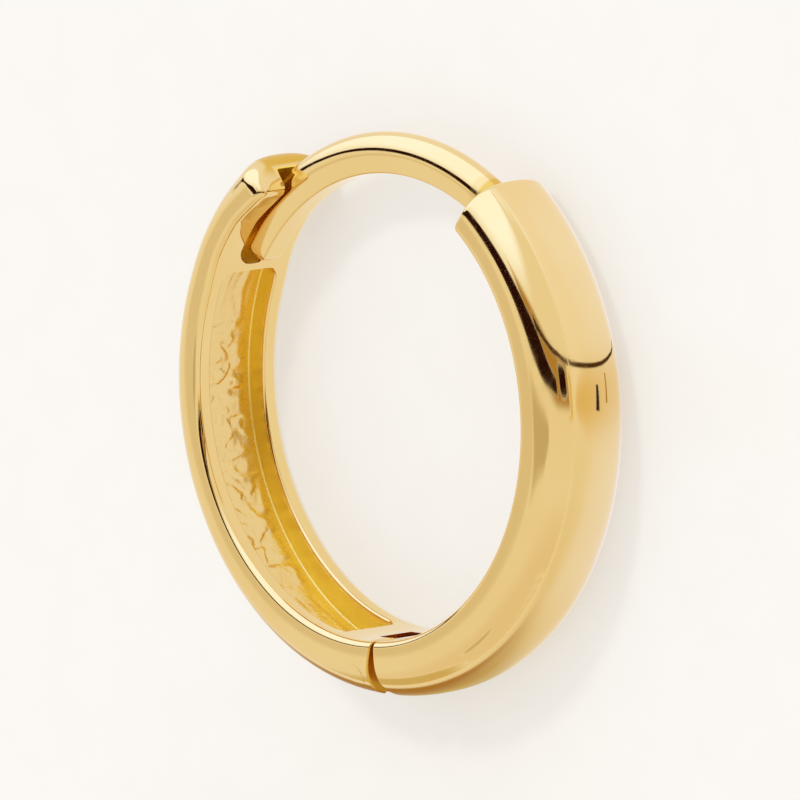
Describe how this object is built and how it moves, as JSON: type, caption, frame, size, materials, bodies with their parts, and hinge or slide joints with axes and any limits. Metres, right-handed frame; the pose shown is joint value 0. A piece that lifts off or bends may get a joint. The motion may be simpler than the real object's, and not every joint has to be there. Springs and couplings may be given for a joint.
{
  "type": "hoop earring",
  "caption": "Small hinged huggie hoop earring in polished gold, with a domed front half, a hollowed back half and a curved ear post that closes into a catch.",
  "frame": {"origin": "on the surface the earring lies on, at the middle of its bounding box", "axes": "+Z is the hoop's own axis and points up from the surface it lies on; +X goes from the hollow back half to the front half; +Y goes from the hinge to the ear post"},
  "size_m": [0.012, 0.012, 0.0023],
  "materials": {
    "polished_gold": "high polish",
    "hollowed_gold": "polished outside, as cast inside the channel",
    "pin_gold": "high polish"
  },
  "bodies": {
    "back": {"back_half": "hollowed_gold", "hinge_pin": "pin_gold"},
    "front": {"front_half": "polished_gold"}
  },
  "joints": [
    {"name": "hinge", "type": "hinge", "parent": "back", "child": "front", "pos_m": [-0.0003, -0.0055, 0.00117], "axis": [0, 0, -1], "range_deg": [0, 60]}
  ]
}
